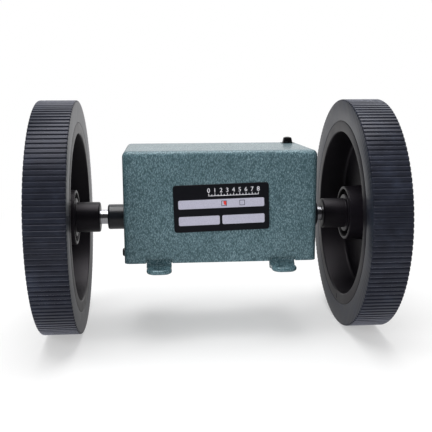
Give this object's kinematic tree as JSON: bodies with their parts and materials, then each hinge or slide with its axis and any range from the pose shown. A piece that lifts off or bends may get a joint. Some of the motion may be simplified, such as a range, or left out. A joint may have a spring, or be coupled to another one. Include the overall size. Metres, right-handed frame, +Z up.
{
  "type": "cable length counter",
  "caption": "Two-wheeled roller that counts the length of cable or cloth run under its wheels, with a geared number display in a small footed box.",
  "frame": {"origin": "centre of the four foot holes, on the underside of the feet", "axes": "+X along the wheel shaft, towards the reset knob end; +Y from the nameplate side to the number window side; +Z up"},
  "size_m": [0.1572, 0.106, 0.106],
  "materials": {
    "hammertone_paint": "hammered enamel, semi-gloss",
    "zinc_steel": "zinc plated, satin",
    "ground_steel": "ground, bright",
    "black_steel": "dark green-black enamel, smooth",
    "sintered_bronze": "sintered, oiled",
    "gear_brass": "cut, bright",
    "moulded_core": "moulded, satin",
    "tyre_rubber": "ribbed, matt",
    "black_plate": "printed, satin",
    "black_plastic": "moulded",
    "clear_pane": "clear acrylic",
    "drum_plastic": "black, moulded",
    "pinion_plastic": "natural acetal",
    "spring_steel": "spring wire"
  },
  "bodies": {
    "housing": {"base": "hammertone_paint", "cover": "hammertone_paint", "cover_screws": "hammertone_paint", "nameplate": "black_plate", "window_bezel": "black_plastic", "window_pane": "clear_pane", "left_side_plate": "zinc_steel", "right_side_plate": "zinc_steel", "tie_rods": "zinc_steel", "tie_rod_screws": "zinc_steel", "frame_screws": "zinc_steel", "left_bearing_housing": "black_steel", "right_bearing_housing": "black_steel", "left_bush": "sintered_bronze", "right_bush": "sintered_bronze", "idler_stud": "zinc_steel", "idler_clip": "spring_steel", "drum_shaft": "ground_steel", "pinion_shaft": "ground_steel", "drum_spacers": "zinc_steel", "reset_spring": "spring_steel"},
    "wheel_set": {"main_shaft": "ground_steel", "shaft_rings": "spring_steel", "left_wheel_core": "moulded_core", "right_wheel_core": "moulded_core", "left_tyre": "tyre_rubber", "right_tyre": "tyre_rubber", "wheel_washers": "zinc_steel", "wheel_screws": "zinc_steel", "shaft_gear": "gear_brass", "gear_set_screw": "zinc_steel"},
    "idler": {"idler_gear": "gear_brass"},
    "first_drum": {"number_drum_1": "drum_plastic", "drum_gear": "gear_brass"},
    "second_drum": {"number_drum_2": "drum_plastic"},
    "third_drum": {"number_drum_3": "drum_plastic"},
    "fourth_drum": {"number_drum_4": "drum_plastic"},
    "fifth_drum": {"number_drum_5": "drum_plastic"},
    "first_pinion": {"carry_pinion_1": "pinion_plastic"},
    "second_pinion": {"carry_pinion_2": "pinion_plastic"},
    "third_pinion": {"carry_pinion_3": "pinion_plastic"},
    "fourth_pinion": {"carry_pinion_4": "pinion_plastic"},
    "reset_rocker": {"reset_shaft": "ground_steel", "reset_clips": "spring_steel", "reset_comb": "zinc_steel", "reset_lever": "zinc_steel", "reset_knob": "black_plastic"}
  },
  "joints": [
    {"name": "wheel_spin", "type": "hinge", "parent": "housing", "child": "wheel_set", "pos_m": [0, -0.002, 0.0206], "axis": [1, 0, 0], "continuous": true},
    {"name": "idler_spin", "type": "hinge", "parent": "housing", "child": "idler", "pos_m": [0, -0.0011, 0.03557], "axis": [1, 0, 0], "continuous": true},
    {"name": "first_drum_spin", "type": "hinge", "parent": "housing", "child": "first_drum", "pos_m": [0, 0.0124, 0.0357], "axis": [1, 0, 0], "continuous": true},
    {"name": "second_drum_spin", "type": "hinge", "parent": "housing", "child": "second_drum", "pos_m": [0, 0.0124, 0.0357], "axis": [1, 0, 0], "continuous": true},
    {"name": "third_drum_spin", "type": "hinge", "parent": "housing", "child": "third_drum", "pos_m": [0, 0.0124, 0.0357], "axis": [1, 0, 0], "continuous": true},
    {"name": "fourth_drum_spin", "type": "hinge", "parent": "housing", "child": "fourth_drum", "pos_m": [0, 0.0124, 0.0357], "axis": [1, 0, 0], "continuous": true},
    {"name": "fifth_drum_spin", "type": "hinge", "parent": "housing", "child": "fifth_drum", "pos_m": [0, 0.0124, 0.0357], "axis": [1, 0, 0], "continuous": true},
    {"name": "first_pinion_spin", "type": "hinge", "parent": "housing", "child": "first_pinion", "pos_m": [0, 0.00809, 0.02386], "axis": [1, 0, 0], "continuous": true},
    {"name": "second_pinion_spin", "type": "hinge", "parent": "housing", "child": "second_pinion", "pos_m": [0, 0.00809, 0.02386], "axis": [1, 0, 0], "continuous": true},
    {"name": "third_pinion_spin", "type": "hinge", "parent": "housing", "child": "third_pinion", "pos_m": [0, 0.00809, 0.02386], "axis": [1, 0, 0], "continuous": true},
    {"name": "fourth_pinion_spin", "type": "hinge", "parent": "housing", "child": "fourth_pinion", "pos_m": [0, 0.00809, 0.02386], "axis": [1, 0, 0], "continuous": true},
    {"name": "reset_press", "type": "hinge", "parent": "housing", "child": "reset_rocker", "pos_m": [0, -0.0011, 0.0477], "axis": [-1, 0, 0], "range_deg": [0, 7], "stiffness_Nm_per_rad": 0.08, "springref_deg": -3.44, "deforming": ["reset_spring"]}
  ],
  "couplings": [
    {"joint": "idler_spin", "follows": "wheel_spin", "ratio": -0.66667},
    {"joint": "first_drum_spin", "follows": "wheel_spin", "ratio": 0.33333},
    {"joint": "second_drum_spin", "follows": "wheel_spin", "ratio": 0.033333},
    {"joint": "third_drum_spin", "follows": "wheel_spin", "ratio": 0.0033333},
    {"joint": "fourth_drum_spin", "follows": "wheel_spin", "ratio": 0.00033333},
    {"joint": "fifth_drum_spin", "follows": "wheel_spin", "ratio": 0.000033333},
    {"joint": "first_pinion_spin", "follows": "wheel_spin", "ratio": -0.083333},
    {"joint": "second_pinion_spin", "follows": "wheel_spin", "ratio": -0.0083333},
    {"joint": "third_pinion_spin", "follows": "wheel_spin", "ratio": -0.00083333},
    {"joint": "fourth_pinion_spin", "follows": "wheel_spin", "ratio": -0.000083333}
  ]
}
